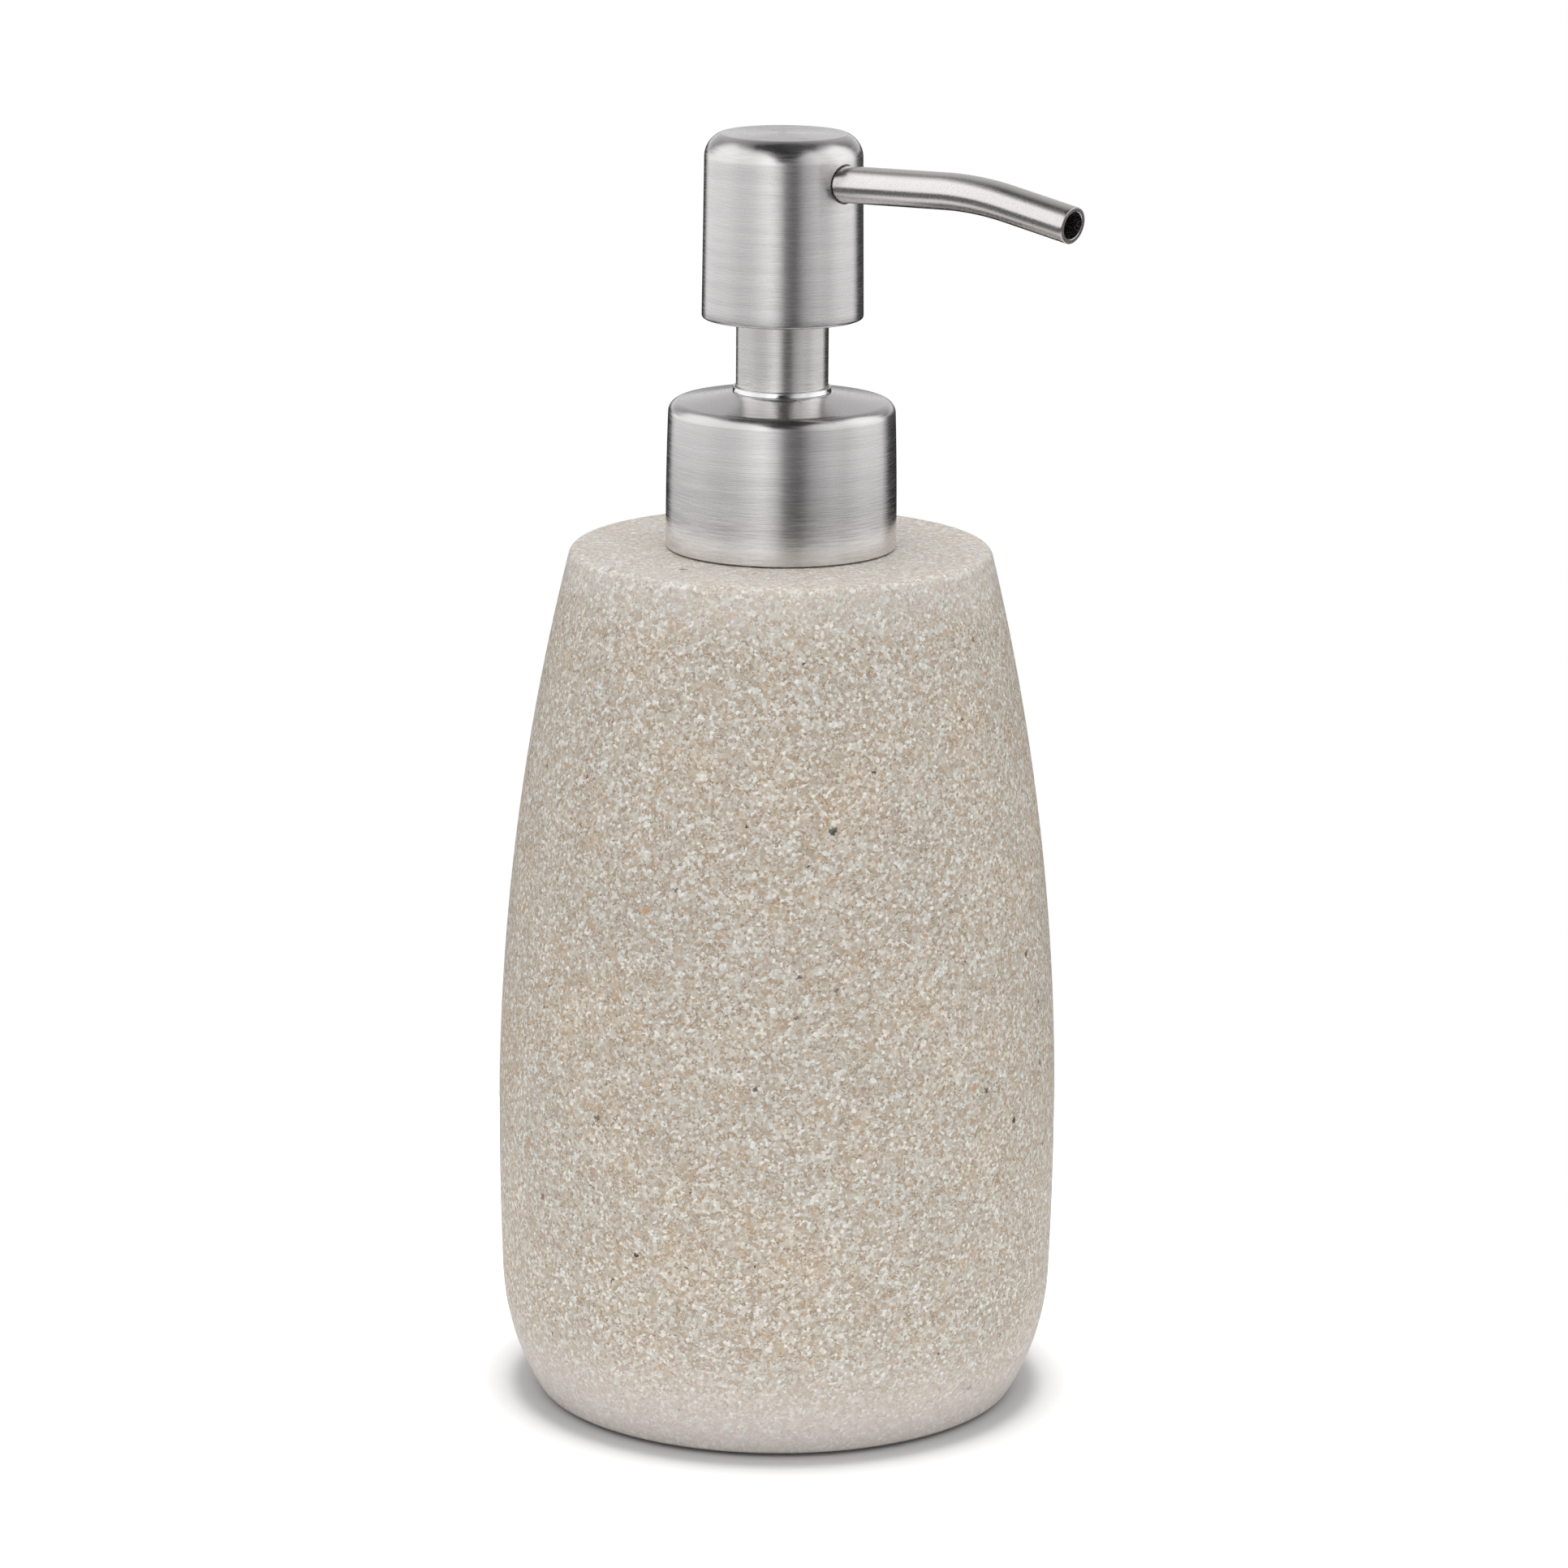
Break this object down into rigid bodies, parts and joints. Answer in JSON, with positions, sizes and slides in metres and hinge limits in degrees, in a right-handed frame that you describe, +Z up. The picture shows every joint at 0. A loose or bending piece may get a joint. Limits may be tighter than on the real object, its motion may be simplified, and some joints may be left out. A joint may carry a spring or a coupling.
{
  "type": "soap pump dispenser",
  "caption": "Free-standing soap bottle in cast stone resin with a steel-clad lotion pump: press-down turning head with a bent spout, screw collar and dip tube.",
  "frame": {"origin": "centre of the face the dispenser stands on, under the axis of the bottle and pump", "axes": "+Z up along the common axis of bottle and pump; +X the way the spout points; -Y to the spout's right hand side"},
  "size_m": [0.0853, 0.075, 0.1706],
  "materials": {
    "stone_resin": "cast resin with fine sand grains, soft sheen",
    "soft_pad": "matte foam",
    "neck_plastic": "moulded, natural",
    "gasket_foam": "foamed, matte",
    "pump_plastic": "moulded, milky",
    "tube_plastic": "extruded, milky",
    "ball_glass": "clear glass",
    "spring_steel": "drawn wire",
    "cap_plastic": "moulded, fine matte",
    "brushed_shell": "brushed round the axis",
    "polished_ring": "polished",
    "brushed_tube": "satin",
    "seal_plastic": "soft moulded"
  },
  "bodies": {
    "bottle": {"bottle_body": "stone_resin", "base_pad": "soft_pad", "neck_insert": "neck_plastic"},
    "pump_unit": {"neck_gasket": "gasket_foam", "pump_housing": "pump_plastic", "chaplet": "pump_plastic", "dip_tube": "tube_plastic", "valve_cage": "pump_plastic", "return_spring": "spring_steel"},
    "closure": {"closure_cap": "cap_plastic", "closure_shell": "brushed_shell", "guide_ring": "polished_ring"},
    "ball": {"inlet_ball": "ball_glass"},
    "stem": {"stem_sleeve": "brushed_tube", "upper_stem": "pump_plastic", "piston_rod": "pump_plastic"},
    "seal": {"piston_seal": "seal_plastic"},
    "head": {"head_core": "cap_plastic", "head_shell": "brushed_shell", "spout_tube": "brushed_tube"}
  },
  "joints": [
    {"name": "pump_rise", "type": "slide", "parent": "bottle", "child": "pump_unit", "axis": [0, 0, 1], "range_m": [0, 0.00635]},
    {"name": "closure_turn", "type": "hinge", "parent": "pump_unit", "child": "closure", "pos_m": [0, 0, 0.125], "axis": [0, 0, 1], "range_deg": [0, 540]},
    {"name": "head_press", "type": "slide", "parent": "pump_unit", "child": "stem", "axis": [0, 0, -1], "range_m": [0, 0.0085], "stiffness_N_per_m": 780, "springref_m": -0.01, "deforming": ["return_spring"]},
    {"name": "head_turn", "type": "hinge", "parent": "stem", "child": "head", "pos_m": [0, 0, 0.155], "axis": [0, 0, 1], "continuous": true},
    {"name": "seal_float", "type": "slide", "parent": "stem", "child": "seal", "axis": [0, 0, 1], "range_m": [0, 0.0011]},
    {"name": "ball_lift", "type": "slide", "parent": "pump_unit", "child": "ball", "axis": [0, 0, 1], "range_m": [0, 0.0016]}
  ],
  "couplings": [
    {"joint": "closure_turn", "follows": "pump_rise", "rad_per_m": 1484.3}
  ]
}
